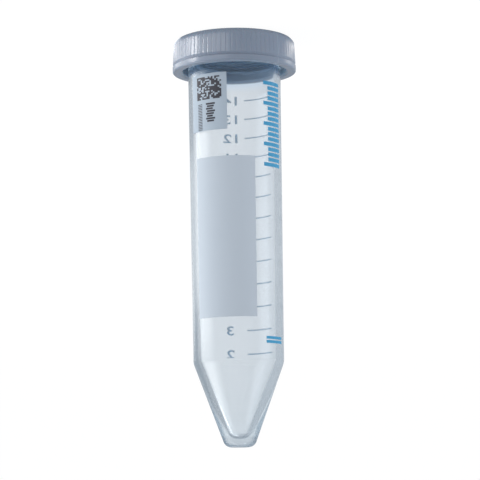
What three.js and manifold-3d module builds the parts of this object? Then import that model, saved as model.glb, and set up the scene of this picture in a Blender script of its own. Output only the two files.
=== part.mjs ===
// 15 ml conical tube with a ribbed screw cap, modelled standing on its cap.
//
// Frame: millimetres, +Z up. The cap's flat top face lies at Z = 0 and the
// cone's blunt tip points up. The printed side of the tube faces -Y.
//
// Three pieces: the tube, one moulding from lip to tip; the cap, one moulding
// with its ribs and its sealing plug; and the code label stuck to the tube.

import * as THREE from 'three';
import { mergeVertices } from 'three/addons/utils/BufferGeometryUtils.js';
import Module from 'manifold-3d';

const wasm = await Module();
wasm.setup();

// ---------------------------------------------------------------- sizes, mm

// tube
const TUBE_TOP_D = 20.0;            // outside, at the cap's rim
const TUBE_BELOW_RIM = 80.8;        // cap's open rim to the tip
const BODY_DRAFT = 0.35;            // the radius lost from the rim to the shoulder
const SHOULDER_WALL = 1.65;         // at the end of the straight body
const NECK_RELIEF = 0.2;            // the neck's wall inside the body's, on the radius
const NECK_WALL = 1.1;              // at the mouth
const NECK_STEP = 0.5;              // length of the step from neck to body
const NECK_STEP_INSET = 0.7;        // the step ends this far inside the cap
const LIP_ROUND = 0.35;

// cone and tip
const CONE_LENGTH = 17.9;
const SHOULDER_ROUND = 3.5;
const TIP_FLAT_D = 3.6;
const TIP_ROUND = 1.8;              // outer corner of the blunt tip
const TIP_WALL = 2.2;               // thickness on the axis
const CAVITY_TIP_ROUND = 1.9;       // round end of the cavity
const CAVITY_SHOULDER_ROUND = 1.9;  // one wall inside the outer round
const CAVITY_SHOULDER_LEAD = 0.3;   // inner cone starts this far before the outer

// cap
const CAP_HEIGHT = 7.2;             // flat top face to open rim
const CAP_TOP_THICKNESS = 1.5;
const CAP_TOP_ROUND = 1.1;          // outer edge of the flat top
const SKIRT_WALL = 1.65;            // between the ribs, just under the top edge
const SKIRT_DRAFT = 0.2;            // the radius gained from the top edge to the band
const CAP_BAND_HEIGHT = 1.35;       // plain band at the open rim
const CAP_BAND_PROUD = 0.3;         // band outside the wall between the ribs
const CAP_RIM_ROUND = 0.3;
const CAP_MOUTH_CHAMFER = 0.4;      // lead-in at the open rim

// cap ribs
const RIB_COUNT = 78;
const RIB_HEIGHT = 0.24;            // crest above the groove between two ribs
const RIB_FADE = 0.55;              // length over which a rib rises at its end
const RIB_SINK = 0.06;              // how far a faded end lies inside the wall

// cap sealing plug, the ring that reaches into the tube's mouth
const PLUG_WALL = 1.0;
const PLUG_DEPTH = 2.2;
const PLUG_LEAD = 0.35;             // taper at the plug's free end

// code label
const LABEL_FROM_RIM = 1.8;         // cap's rim to the label's near edge
const LABEL_HEIGHT = 12.3;
const LABEL_START_DEG = 9.5;        // round from -Y towards +X
const LABEL_END_DEG = 62;
const LABEL_THICKNESS = 0.15;

// clearances
const SEAT_CLEARANCE = 0.3;         // lip to the cap's inner face
const PLUG_CLEARANCE = 0.3;         // plug to the mouth's bore, on the radius
const THREAD_SPACE = 1.4;           // neck to the skirt's bore, on the radius
const LABEL_CLEARANCE = 0.1;        // label's back to the tube's wall

// facets
const TUBE_SEGMENTS = 96;
const CAP_SEGMENTS = RIB_COUNT;
const LABEL_SEGMENTS = 24;
const ARC_STEPS = 5;

// --------------------------------------------- radii and places that follow

const TUBE_TOP_R = TUBE_TOP_D / 2;
const TUBE_SHOULDER_R = TUBE_TOP_R - BODY_DRAFT;
const SHOULDER_BORE_R = TUBE_SHOULDER_R - SHOULDER_WALL;
const NECK_R = TUBE_TOP_R - NECK_RELIEF;
const MOUTH_BORE_R = NECK_R - NECK_WALL;
const SKIRT_BORE_R = NECK_R + THREAD_SPACE;
const SKIRT_TOP_R = SKIRT_BORE_R + SKIRT_WALL;
const SKIRT_BAND_R = SKIRT_TOP_R + SKIRT_DRAFT;
const CAP_RIM_R = SKIRT_BAND_R + CAP_BAND_PROUD;
const PLUG_R = MOUTH_BORE_R - PLUG_CLEARANCE;

const OVERALL_LENGTH = CAP_HEIGHT + TUBE_BELOW_RIM;
const MOUTH_Z = CAP_TOP_THICKNESS + SEAT_CLEARANCE;
const BODY_START_Z = CAP_HEIGHT - NECK_STEP_INSET;
const SHOULDER_Z = OVERALL_LENGTH - CONE_LENGTH;
const CAP_BAND_Z = CAP_HEIGHT - CAP_BAND_HEIGHT;

// ------------------------------------------------------------------- helpers

const radians = THREE.MathUtils.degToRad;

function point(r, z) {
  return new THREE.Vector2(r, z);
}

// Points of a circular arc in the (r, z) half-plane, both ends included.
function arc(centreR, centreZ, radius, startDeg, endDeg, steps = ARC_STEPS) {
  const points = [];
  for (let i = 0; i <= steps; i += 1) {
    const angle = radians(startDeg + ((endDeg - startDeg) * i) / steps);
    points.push(point(centreR + radius * Math.cos(angle), centreZ + radius * Math.sin(angle)));
  }
  return points;
}

// Half-angle, in degrees, of the cone that starts offset from a round's centre
// by (reachR, reachZ) and ends tangent to that round.
function coneHalfAngle(reachR, reachZ, roundR) {
  const toCentre = Math.atan2(reachR, reachZ);
  const pastRound = Math.asin(roundR / Math.hypot(reachR, reachZ));
  return THREE.MathUtils.radToDeg(toCentre - pastRound);
}

// A profile in (r, z) revolved around Z.
function revolve(profile, segments) {
  const geometry = new THREE.LatheGeometry(profile, segments);
  geometry.rotateX(Math.PI / 2);
  return geometry;
}

// A BufferGeometry with only positions, shared vertices merged and the
// collapsed triangles at a pole dropped.
function weld(geometry) {
  const bare = new THREE.BufferGeometry();
  bare.setAttribute('position', geometry.getAttribute('position').clone());
  bare.setIndex(geometry.getIndex().clone());
  const merged = mergeVertices(bare, 1e-5);
  const source = merged.getIndex().array;
  const kept = [];
  for (let i = 0; i < source.length; i += 3) {
    const [a, b, c] = [source[i], source[i + 1], source[i + 2]];
    if (a !== b && b !== c && c !== a) kept.push(a, b, c);
  }
  merged.setIndex(kept);
  return merged;
}

function toSolid(geometry) {
  const welded = weld(geometry);
  const mesh = new wasm.Mesh({
    numProp: 3,
    vertProperties: Float32Array.from(welded.getAttribute('position').array),
    triVerts: Uint32Array.from(welded.getIndex().array),
  });
  return new wasm.Manifold(mesh);
}

function fromSolid(solid) {
  const mesh = solid.getMesh();
  const geometry = new THREE.BufferGeometry();
  geometry.setAttribute('position', new THREE.BufferAttribute(mesh.vertProperties, 3));
  geometry.setIndex(new THREE.BufferAttribute(mesh.triVerts, 1));
  return geometry;
}

// A closed skin over a grid of points: ringCount rows of equal length, each
// row closed on itself, and the last row joined back to the first.
function closedSleeve(rows) {
  const columns = rows[0].length;
  const positions = rows.flat().flatMap((p) => [p.x, p.y, p.z]);
  const index = [];
  for (let row = 0; row < rows.length; row += 1) {
    const next = (row + 1) % rows.length;
    for (let column = 0; column < columns; column += 1) {
      const beside = (column + 1) % columns;
      const a = row * columns + column;
      const b = row * columns + beside;
      const c = next * columns + beside;
      const d = next * columns + column;
      index.push(a, b, c, a, c, d);
    }
  }
  const geometry = new THREE.BufferGeometry();
  geometry.setAttribute('position', new THREE.Float32BufferAttribute(positions, 3));
  geometry.setIndex(index);
  return geometry;
}

function meshOf(name, geometry, material) {
  geometry.computeVertexNormals();
  const mesh = new THREE.Mesh(geometry, material);
  mesh.name = name;
  return mesh;
}

// ---------------------------------------------------------------------- tube

// Outside radius of the tube's straight, drafted body at a height.
function bodyRadius(z) {
  const share = (z - CAP_HEIGHT) / (SHOULDER_Z - CAP_HEIGHT);
  return THREE.MathUtils.lerp(TUBE_TOP_R, TUBE_SHOULDER_R, share);
}

// The cavity's round end, its cone and its long drafted bore.
function cavityProfile() {
  const endZ = OVERALL_LENGTH - TIP_WALL;
  const roundZ = endZ - CAVITY_TIP_ROUND;
  const shoulderZ = SHOULDER_Z - CAVITY_SHOULDER_LEAD;
  const halfAngle = coneHalfAngle(SHOULDER_BORE_R, roundZ - shoulderZ, CAVITY_TIP_ROUND);
  return [
    point(0, endZ),
    ...arc(0, roundZ, CAVITY_TIP_ROUND, 90, halfAngle).slice(1),
    ...arc(
      SHOULDER_BORE_R - CAVITY_SHOULDER_ROUND,
      shoulderZ - CAVITY_SHOULDER_ROUND * Math.tan(radians(halfAngle / 2)),
      CAVITY_SHOULDER_ROUND,
      halfAngle,
      0,
      4,
    ),
  ];
}

// The rounded lip at the mouth, from the bore out to the neck.
function lipProfile() {
  return [
    ...arc(MOUTH_BORE_R + LIP_ROUND, MOUTH_Z + LIP_ROUND, LIP_ROUND, 180, 270, 3),
    ...arc(NECK_R - LIP_ROUND, MOUTH_Z + LIP_ROUND, LIP_ROUND, 270, 360, 3),
  ];
}

// The outside from the neck's step to the blunt tip.
function outsideProfile() {
  const tipCentreR = TIP_FLAT_D / 2;
  const tipCentreZ = OVERALL_LENGTH - TIP_ROUND;
  const halfAngle = coneHalfAngle(
    TUBE_SHOULDER_R - tipCentreR,
    tipCentreZ - SHOULDER_Z,
    TIP_ROUND,
  );
  return [
    point(NECK_R, BODY_START_Z - NECK_STEP),
    point(bodyRadius(BODY_START_Z), BODY_START_Z),
    ...arc(
      TUBE_SHOULDER_R - SHOULDER_ROUND,
      SHOULDER_Z - SHOULDER_ROUND * Math.tan(radians(halfAngle / 2)),
      SHOULDER_ROUND,
      0,
      halfAngle,
      4,
    ),
    ...arc(tipCentreR, tipCentreZ, TIP_ROUND, halfAngle, 90),
    point(0, OVERALL_LENGTH),
  ];
}

function buildTube() {
  const material = new THREE.MeshStandardMaterial({
    color: 0xdbe2ea,
    roughness: 0.22,
    metalness: 0,
    transparent: true,
    opacity: 0.45,
  });
  const profile = [...cavityProfile(), ...lipProfile(), ...outsideProfile()];
  return meshOf('tube', weld(revolve(profile, TUBE_SEGMENTS)), material);
}

// ----------------------------------------------------------------------- cap

// The cap without its ribs: flat top, rounded edge, drafted wall, plain band,
// bored skirt and the plug that hangs from the top's inner face.
function capShellProfile() {
  const plugEndZ = CAP_TOP_THICKNESS + PLUG_DEPTH;
  return [
    point(0, 0),
    ...arc(SKIRT_TOP_R - CAP_TOP_ROUND, CAP_TOP_ROUND, CAP_TOP_ROUND, 270, 360),
    point(SKIRT_BAND_R, CAP_BAND_Z),
    point(CAP_RIM_R, CAP_BAND_Z + CAP_BAND_PROUD / 2),
    ...arc(CAP_RIM_R - CAP_RIM_ROUND, CAP_HEIGHT - CAP_RIM_ROUND, CAP_RIM_ROUND, 0, 90, 3),
    point(SKIRT_BORE_R + CAP_MOUTH_CHAMFER, CAP_HEIGHT),
    point(SKIRT_BORE_R, CAP_HEIGHT - CAP_MOUTH_CHAMFER),
    point(SKIRT_BORE_R, CAP_TOP_THICKNESS),
    point(PLUG_R, CAP_TOP_THICKNESS),
    point(PLUG_R, plugEndZ - PLUG_LEAD * 2),
    point(PLUG_R - PLUG_LEAD, plugEndZ),
    point(PLUG_R - PLUG_WALL, plugEndZ),
    point(PLUG_R - PLUG_WALL, CAP_TOP_THICKNESS),
    point(0, CAP_TOP_THICKNESS),
  ];
}

// How far along one rib pitch each corner of the rib stands, and whether the
// corner is on the crest (1) or in the groove (0).
const RIB_CORNERS = [
  { share: 0.0, crest: 0 },
  { share: 0.2, crest: 1 },
  { share: 0.52, crest: 1 },
  { share: 0.72, crest: 0 },
];

// One row of the ribbed sleeve: the wall's radius, plus the rib's height
// where the row crosses a crest.
function ribRow(z, grooveR, ribHeight) {
  const row = [];
  for (let rib = 0; rib < RIB_COUNT; rib += 1) {
    for (const corner of RIB_CORNERS) {
      const angle = ((rib + corner.share) / RIB_COUNT) * Math.PI * 2;
      const radius = grooveR + corner.crest * ribHeight;
      row.push(new THREE.Vector3(radius * Math.cos(angle), radius * Math.sin(angle), z));
    }
  }
  return row;
}

// The ribs as one sleeve whose grooves lie just proud of the cap's wall and
// whose ends fade into it.
function buildRibSleeve() {
  const startZ = CAP_TOP_ROUND / 2;
  const endZ = CAP_BAND_Z;
  const wallAt = (z) => {
    const share = (z - CAP_TOP_ROUND) / (endZ - CAP_TOP_ROUND);
    return THREE.MathUtils.lerp(SKIRT_TOP_R, SKIRT_BAND_R, share);
  };
  const roundInset = CAP_TOP_ROUND * (1 - Math.cos(Math.PI / 6));
  const grooveProud = RIB_SINK / 3;
  const hiddenR = (SKIRT_BORE_R + SKIRT_TOP_R - roundInset) / 2;
  return closedSleeve([
    ribRow(startZ, SKIRT_TOP_R - roundInset - RIB_SINK, 0),
    ribRow(startZ + RIB_FADE, wallAt(startZ + RIB_FADE) + grooveProud, RIB_HEIGHT),
    ribRow(endZ - RIB_FADE, wallAt(endZ - RIB_FADE) + grooveProud, RIB_HEIGHT),
    ribRow(endZ, wallAt(endZ) - RIB_SINK, 0),
    ribRow(endZ, hiddenR, 0),
    ribRow(startZ, hiddenR, 0),
  ]);
}

function buildCap() {
  const material = new THREE.MeshStandardMaterial({
    color: 0x8f99a8,
    roughness: 0.48,
    metalness: 0,
  });
  const shell = toSolid(revolve(capShellProfile(), CAP_SEGMENTS));
  const ribbed = shell.add(toSolid(buildRibSleeve()));
  return meshOf('cap', fromSolid(ribbed), material);
}

// --------------------------------------------------------------------- label

// The four corners of the label's section, at one angle round the tube.
function labelSection(angle) {
  const nearZ = CAP_HEIGHT + LABEL_FROM_RIM;
  const farZ = nearZ + LABEL_HEIGHT;
  const at = (z, lift) => {
    const radius = bodyRadius(z) + LABEL_CLEARANCE + lift;
    return new THREE.Vector3(radius * Math.sin(angle), -radius * Math.cos(angle), z);
  };
  return [at(nearZ, 0), at(nearZ, LABEL_THICKNESS), at(farZ, LABEL_THICKNESS), at(farZ, 0)];
}

// A thin sheet wrapped round the tube's wall, square at its corners.
function buildLabel() {
  const material = new THREE.MeshStandardMaterial({
    color: 0xc4ccd6,
    roughness: 0.5,
    metalness: 0,
  });
  const corners = 4;
  const positions = [];
  for (let i = 0; i <= LABEL_SEGMENTS; i += 1) {
    const share = i / LABEL_SEGMENTS;
    const angle = radians(THREE.MathUtils.lerp(LABEL_START_DEG, LABEL_END_DEG, share));
    positions.push(...labelSection(angle).flatMap((p) => [p.x, p.y, p.z]));
  }
  const index = [];
  for (let i = 0; i < LABEL_SEGMENTS; i += 1) {
    for (let side = 0; side < corners; side += 1) {
      const a = i * corners + side;
      const b = i * corners + ((side + 1) % corners);
      index.push(a, a + corners, b + corners, a, b + corners, b);
    }
  }
  const last = LABEL_SEGMENTS * corners;
  index.push(0, 1, 2, 0, 2, 3);
  index.push(last, last + 2, last + 1, last, last + 3, last + 2);
  const geometry = new THREE.BufferGeometry();
  geometry.setAttribute('position', new THREE.Float32BufferAttribute(positions, 3));
  geometry.setIndex(index);
  return meshOf('code_label', geometry, material);
}

// ------------------------------------------------------------------ assembly

const conicalTube = new THREE.Group();
conicalTube.add(buildTube(), buildCap(), buildLabel());

export default conicalTube;
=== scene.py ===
"""Looks of a closed 15 ml conical tube that stands upside down on its ribbed screw cap.

Everything is in metres in the part's own frame: the cap's flat top lies at the lowest z,
the conical tip points to +Z, and the printed side faces -Y. Angles round the tube are
measured from -Y towards +X.
"""
import logging
import math
import random
from dataclasses import dataclass, field, replace
from enum import Enum
from typing import Callable, Iterable, Sequence

import bmesh
import bpy
import numpy as np
from mathutils import Matrix, Vector


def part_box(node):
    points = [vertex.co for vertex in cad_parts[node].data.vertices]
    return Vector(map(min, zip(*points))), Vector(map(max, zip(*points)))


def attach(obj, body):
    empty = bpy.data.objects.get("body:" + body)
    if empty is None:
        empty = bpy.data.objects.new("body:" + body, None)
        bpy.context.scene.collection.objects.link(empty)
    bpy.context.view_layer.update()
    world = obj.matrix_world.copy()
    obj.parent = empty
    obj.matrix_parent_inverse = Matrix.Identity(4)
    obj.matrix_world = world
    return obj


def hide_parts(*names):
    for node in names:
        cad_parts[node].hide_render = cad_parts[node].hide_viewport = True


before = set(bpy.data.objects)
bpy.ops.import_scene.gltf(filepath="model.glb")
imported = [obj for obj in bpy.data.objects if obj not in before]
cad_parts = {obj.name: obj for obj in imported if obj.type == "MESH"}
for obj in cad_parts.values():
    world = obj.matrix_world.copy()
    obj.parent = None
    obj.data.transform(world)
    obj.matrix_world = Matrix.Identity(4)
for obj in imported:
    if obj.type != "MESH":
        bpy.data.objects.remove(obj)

MM = 0.001
LOG = logging.getLogger("conical_tube")
TRAPPED_DEPTH = 1.5  # a ray mirrored more often than this runs on inside the plastic

Colour = tuple[float, float, float]
Span = tuple[float, float]
Place = tuple[float, float, float]
Piece = bpy.types.Object
Material = bpy.types.Material
Node = bpy.types.Node
Socket = bpy.types.NodeSocket


class Body(Enum):
    """The bodies of the part that pieces ride on."""

    CAP = "cap"
    TUBE = "tube"


class Slot(Enum):
    """The record's material slots."""

    TUBE = "tube"
    CAP = "cap"
    LABEL = "label"
    PANEL_INK = "panel_ink"
    SCALE_INK = "scale_ink"
    ACCENT_INK = "accent_ink"
    LABEL_INK = "label_ink"


class Relief(Enum):
    """What stands out of a revolved wall along one ring."""

    PLAIN = "plain"
    RIBS = "ribs"
    THREAD = "thread"


# ------------------------------------------------------------------ measures


@dataclass(frozen=True)
class Frame:
    """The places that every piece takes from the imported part, and the body's own sizes."""

    rim_z: float
    tip_z: float
    mouth_z: float
    rim_radius: float
    top_radius: float = 10.0 * MM
    shoulder_radius: float = 9.65 * MM
    cone_length: float = 17.9 * MM

    @classmethod
    def read(cls) -> "Frame":
        """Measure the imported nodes.

        Returns:
            The places of the cap's rim, the tube's tip and the tube's mouth.
        """
        cap_low, cap_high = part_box(Body.CAP.value)
        tube_low, tube_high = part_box(Body.TUBE.value)
        return cls(rim_z=cap_high.z, tip_z=tube_high.z, mouth_z=tube_low.z, rim_radius=-cap_low.y)

    @property
    def shoulder_z(self) -> float:
        """Height where the straight body ends and the cone begins."""
        return self.tip_z - self.cone_length

    def wall_radius(self, z: float) -> float:
        """Outside radius of the straight, drafted body at height z."""
        share = (z - self.rim_z) / (self.shoulder_z - self.rim_z)
        return self.top_radius + (self.shoulder_radius - self.top_radius) * share

    def below_rim(self, distance: float) -> float:
        """Height of a place that lies a distance from the cap's open rim towards the tip."""
        return self.rim_z + distance


# --------------------------------------------------------------- mesh making


@dataclass(frozen=True)
class Ring:
    """One ring of a revolved skin: its radius, its height and what stands out of it."""

    radius: float
    z: float
    relief: Relief = Relief.PLAIN
    rise: float = 1.0

    def toward(self, other: "Ring", share: float) -> "Ring":
        """A ring between this one and another.

        Args:
            other: The ring at the far end.
            share: How far along the new ring lies, from 0 to 1.

        Returns:
            The new ring, with this one's relief.
        """
        return Ring(
            self.radius + (other.radius - self.radius) * share,
            self.z + (other.z - self.z) * share,
            self.relief,
            self.rise + (other.rise - self.rise) * share,
        )


def arc_rings(centre: Span, radius: float, start: float, end: float, steps: int) -> list[Ring]:
    """Rings along a circular arc of the profile.

    Args:
        centre: The arc's centre, as (radius from the axis, z).
        radius: The arc's own radius.
        start: Angle of the first ring in degrees, 0 pointing away from the axis.
        end: Angle of the last ring in degrees.
        steps: Number of steps between the two.

    Returns:
        steps + 1 rings, both ends included.
    """
    angles = [math.radians(start + (end - start) * i / steps) for i in range(steps + 1)]
    return [Ring(centre[0] + radius * math.cos(a), centre[1] + radius * math.sin(a)) for a in angles]


def line_rings(first: Ring, last: Ring, steps: int) -> list[Ring]:
    """The rings on a straight stretch between two rings, both ends left out."""
    return [first.toward(last, i / steps) for i in range(1, steps)]


def supported(rings: Sequence[Ring], gap: float = 0.12 * MM) -> list[Ring]:
    """Add a ring near both ends of every long stretch, so that it shades as straight.

    Args:
        rings: The profile.
        gap: How far from the stretch's ends the new rings lie.

    Returns:
        The profile with the new rings in place.
    """
    found = [rings[0]]
    for first, last in zip(rings, rings[1:]):
        length = math.hypot(last.radius - first.radius, last.z - first.z)
        if length > 4 * gap:
            found.append(replace(first.toward(last, gap / length), rise=first.rise))
            far = first.toward(last, 1 - gap / length)
            found.append(replace(far, relief=last.relief, rise=last.rise))
        found.append(last)
    return found


def cone_half_angle(reach_radius: float, reach_z: float, round_radius: float) -> float:
    """Half-angle in degrees of a cone that ends tangent to a round.

    Args:
        reach_radius: From the round's centre out to the cone's wide end.
        reach_z: From the cone's wide end to the round's centre, along the axis.
        round_radius: The round's own radius.

    Returns:
        The angle between the cone's side and the axis.
    """
    to_centre = math.atan2(reach_radius, reach_z)
    past_round = math.asin(round_radius / math.hypot(reach_radius, reach_z))
    return math.degrees(to_centre - past_round)


def shoulder_rings(corner: Span, radius: float, half: float, outward: bool, steps: int = 10) -> list[Ring]:
    """The round between the straight wall and the cone.

    Args:
        corner: Where the wall and the cone would meet, as (radius from the axis, z).
        radius: The round's own radius.
        half: The cone's half-angle in degrees.
        outward: Whether the rings run from the wall to the cone, as outside, or back.
        steps: Number of steps.

    Returns:
        The rings.
    """
    centre = (corner[0] - radius, corner[1] - radius * math.tan(math.radians(half / 2)))
    start, end = (0, half) if outward else (half, 0)
    return arc_rings(centre, radius, start, end, steps)


ReliefOf = Callable[[Ring, np.ndarray], np.ndarray]


def new_mesh_object(name: str, vertices: Iterable, faces: Iterable) -> Piece:
    """Put a mesh object in the scene.

    Args:
        name: The object's name.
        vertices: Its points.
        faces: Its faces, as indices into the points.

    Returns:
        The object.
    """
    mesh = bpy.data.meshes.new(name)
    mesh.from_pydata([tuple(v) for v in vertices], [], [tuple(f) for f in faces])
    mesh.validate()
    obj = bpy.data.objects.new(name, mesh)
    bpy.context.scene.collection.objects.link(obj)
    return obj


def weld(obj: Piece, distance: float = 0.0005 * MM) -> Piece:
    """Join the vertices that lie in one place, so that the skin is closed.

    Args:
        obj: The object to mend.
        distance: How near the vertices have to lie.

    Returns:
        The same object.
    """
    mesh = bmesh.new()
    mesh.from_mesh(obj.data)
    bmesh.ops.remove_doubles(mesh, verts=mesh.verts, dist=distance)
    mesh.to_mesh(obj.data)
    mesh.free()
    return obj


def smooth(obj: Piece, sharp_angle: float = 32.0) -> Piece:
    """Shade an object smooth, with crisp edges where its faces turn sharply.

    Args:
        obj: The object to shade.
        sharp_angle: The turn in degrees past which an edge stays crisp.

    Returns:
        The same object.
    """
    for polygon in obj.data.polygons:
        polygon.use_smooth = True
    obj.data.set_sharp_from_angle(angle=math.radians(sharp_angle))
    return obj


def revolved(name: str, profile: Sequence[Ring], columns: int, relief_of: ReliefOf) -> Piece:
    """A closed solid of revolution whose rings may carry ribs or a thread.

    Args:
        name: The object's name.
        profile: The rings, from a first one on the axis to a last one on the axis.
        columns: Number of columns round the axis.
        relief_of: Gives what to add to a ring's radius at each angle.

    Returns:
        The object, shaded smooth, with its faces pointing out.
    """
    angles = np.arange(columns) * (2 * math.pi / columns)
    rings = supported(profile)
    middle = rings[1:-1]
    vertices = [(0.0, 0.0, rings[0].z)]
    for ring in middle:
        radii = ring.radius + relief_of(ring, angles)
        around = np.stack([radii * np.sin(angles), -radii * np.cos(angles)], axis=1)
        vertices.extend((float(x), float(y), ring.z) for x, y in around)
    last = len(vertices)
    vertices.append((0.0, 0.0, rings[-1].z))
    faces: list[tuple[int, ...]] = []
    for column in range(columns):
        beside = (column + 1) % columns
        faces.append((0, 1 + beside, 1 + column))
        for row in range(len(middle) - 1):
            a = 1 + row * columns
            faces.append((a + column, a + beside, a + columns + beside, a + columns + column))
        end = 1 + (len(middle) - 1) * columns
        faces.append((last, end + column, end + beside))
    return smooth(new_mesh_object(name, vertices, faces))


@dataclass(frozen=True)
class Patch:
    """A rectangle wrapped round the tube's wall, by its angles in degrees and heights."""

    start_deg: float
    end_deg: float
    low_z: float
    high_z: float


@dataclass
class WrappedSheet:
    """Thin closed sheets that lie on the tube's drafted wall."""

    places: Frame
    lift: float
    thickness: float
    step_deg: float = 1.5
    vertices: list[Place] = field(default_factory=list)
    faces: list[tuple[int, ...]] = field(default_factory=list)

    def place(self, angle_deg: float, z: float, out: float) -> Place:
        """A point on the wall, raised out of it.

        Args:
            angle_deg: Angle round the tube from -Y towards +X, in degrees.
            z: Height.
            out: Distance outside the wall.

        Returns:
            The point in the part's frame.
        """
        radius = self.places.wall_radius(z) + out
        angle = math.radians(angle_deg)
        return (radius * math.sin(angle), -radius * math.cos(angle), z)

    def add(self, patch: Patch, rows: int = 1) -> None:
        """Add one closed sheet.

        Args:
            patch: Where it lies.
            rows: Number of rows along the tube.
        """
        first, last = sorted((patch.start_deg, patch.end_deg))
        columns = max(1, round((last - first) / self.step_deg))
        base = len(self.vertices)
        across = columns + 1
        per_skin = across * (rows + 1)
        for out in (self.lift, self.lift + self.thickness):
            for row in range(rows + 1):
                z = patch.low_z + (patch.high_z - patch.low_z) * row / rows
                for column in range(across):
                    share = column / columns
                    self.vertices.append(self.place(first + (last - first) * share, z, out))
        for row in range(rows):
            for column in range(columns):
                a = base + row * across + column
                b, c, d = a + 1, a + across + 1, a + across
                self.faces.append((a, d, c, b))
                self.faces.append((a + per_skin, b + per_skin, c + per_skin, d + per_skin))
        self._close_edges(base, rows, columns, per_skin)

    def _close_edges(self, base: int, rows: int, columns: int, per_skin: int) -> None:
        """Join the inner and outer skins of the last sheet along its four edges.

        Args:
            base: Index of the sheet's first vertex.
            rows: Number of rows along the tube.
            columns: Number of columns round it.
            per_skin: Number of vertices in one skin.
        """
        across = columns + 1
        loop = [base + column for column in range(across)]
        loop += [base + row * across + columns for row in range(1, rows + 1)]
        loop += [base + rows * across + column for column in range(columns - 1, -1, -1)]
        loop += [base + row * across for row in range(rows - 1, 0, -1)]
        for a, b in zip(loop, loop[1:] + loop[:1]):
            self.faces.append((a, b, b + per_skin, a + per_skin))

    def make(self, name: str) -> Piece:
        """The object that holds every sheet added so far."""
        return smooth(new_mesh_object(name, self.vertices, self.faces))


# ------------------------------------------------------------- shader nodes


class Graph:
    """A short way to place and join the nodes of one tree."""

    def __init__(self, tree: bpy.types.NodeTree) -> None:
        """Start with an empty tree."""
        self.tree = tree
        tree.nodes.clear()

    def add(self, kind: str, **settings: object) -> Node:
        """Add a node.

        Args:
            kind: The node's type, such as ShaderNodeTexNoise.
            settings: Attributes to set on it.

        Returns:
            The node.
        """
        node = self.tree.nodes.new(kind)
        for key, value in settings.items():
            setattr(node, key, value)
        return node

    def fed(self, kind: str, inputs: dict, **settings: object) -> Node:
        """Add a node and feed its inputs.

        Args:
            kind: The node's type.
            inputs: What goes into each input, by its name or number.
            settings: Attributes to set on the node.

        Returns:
            The node.
        """
        node = self.add(kind, **settings)
        for key, value in inputs.items():
            self.feed(node.inputs[key], value)
        return node

    def feed(self, target: Socket, value: object) -> None:
        """Link a socket to an input, or set a plain value on it.

        Args:
            target: The input.
            value: A socket, a number, an RGB colour, or None to leave the input alone.
        """
        if isinstance(value, Socket):
            self.tree.links.new(value, target)
        elif isinstance(value, tuple):
            target.default_value = (*value, 1.0)
        elif value is not None:
            target.default_value = value

    def maths(self, operation: str, first: object, second: object = None) -> Socket:
        """Add a Math node.

        Args:
            operation: Its operation, such as MULTIPLY.
            first: A socket or a number.
            second: A socket, a number or None.

        Returns:
            The node's output.
        """
        return self.fed("ShaderNodeMath", {0: first, 1: second}, operation=operation).outputs[0]

    def mix_colour(self, amount: object, first: object, second: object) -> Socket:
        """Mix two colours.

        Args:
            amount: How much of the second colour, as a socket or a number.
            first: A socket or an RGB colour.
            second: A socket or an RGB colour.

        Returns:
            The mixed colour.
        """
        given = {"Factor": amount, "A": first, "B": second}
        node = self.fed("ShaderNodeMix", given, data_type="RGBA")
        return next(s for s in node.outputs if s.type == "RGBA")

    def stretch(self, value: Socket, low: float, high: float) -> Socket:
        """Map a value from 0..1 to low..high."""
        given = {"Value": value, "To Min": low, "To Max": high}
        return self.fed("ShaderNodeMapRange", given).outputs["Result"]

    def ramp(self, value: Socket, low: float, high: float) -> Socket:
        """A smooth step from 0 at a low value to 1 at a high one."""
        given = {"Value": value, "From Min": low, "From Max": high}
        return self.fed("ShaderNodeMapRange", given, interpolation_type="SMOOTHSTEP").outputs["Result"]

    def noise(self, vector: Socket, scale: object, detail: float) -> Socket:
        """A noise texture's value over a vector."""
        given = {"Vector": vector, "Scale": scale, "Detail": detail}
        return self.fed("ShaderNodeTexNoise", given).outputs["Fac"]

    def bump(self, height: Socket, distance: float, strength: float) -> Socket:
        """A Bump node's normal for a height."""
        given = {"Height": height, "Distance": distance, "Strength": strength}
        return self.fed("ShaderNodeBump", given).outputs["Normal"]

    def object_place(self) -> Socket:
        """The place on the object's surface, in its own frame."""
        return self.add("ShaderNodeTexCoord").outputs["Object"]

    def separate(self, vector: Socket) -> Node:
        """A node that separates a vector into X, Y and Z."""
        return self.fed("ShaderNodeSeparateXYZ", {0: vector})

    def from_axis(self, place: Node) -> Socket:
        """The distance of a separated place from the tube's axis."""
        squares = [self.maths("MULTIPLY", place.outputs[axis], place.outputs[axis]) for axis in "XY"]
        return self.maths("SQRT", self.maths("ADD", *squares))

    def principled(self, **plain: float) -> Node:
        """A Principled BSDF with plain values on its sockets.

        Args:
            plain: Values by the keys of PRINCIPLED_SOCKETS.

        Returns:
            The shader node.
        """
        given = {PRINCIPLED_SOCKETS[key]: value for key, value in plain.items()}
        return self.fed("ShaderNodeBsdfPrincipled", given)

    def drive(self, shader: Node, **sockets: Socket) -> Socket:
        """Link what varies over a surface to a Principled BSDF.

        Args:
            shader: The shader node.
            sockets: The values by the keys of PRINCIPLED_SOCKETS.

        Returns:
            The shader's output.
        """
        for key, value in sockets.items():
            self.feed(shader.inputs[PRINCIPLED_SOCKETS[key]], value)
        return shader.outputs[0]

    def mix_shader(self, amount: object, first: Socket, second: Socket) -> Socket:
        """Mix two shaders by an amount."""
        return self.fed("ShaderNodeMixShader", {0: amount, 1: first, 2: second}).outputs[0]

    def surface(self, shader: Socket, output: str = "ShaderNodeOutputMaterial") -> Node:
        """Send a shader to the tree's output node and return that node."""
        return self.fed(output, {"Surface": shader})


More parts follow.
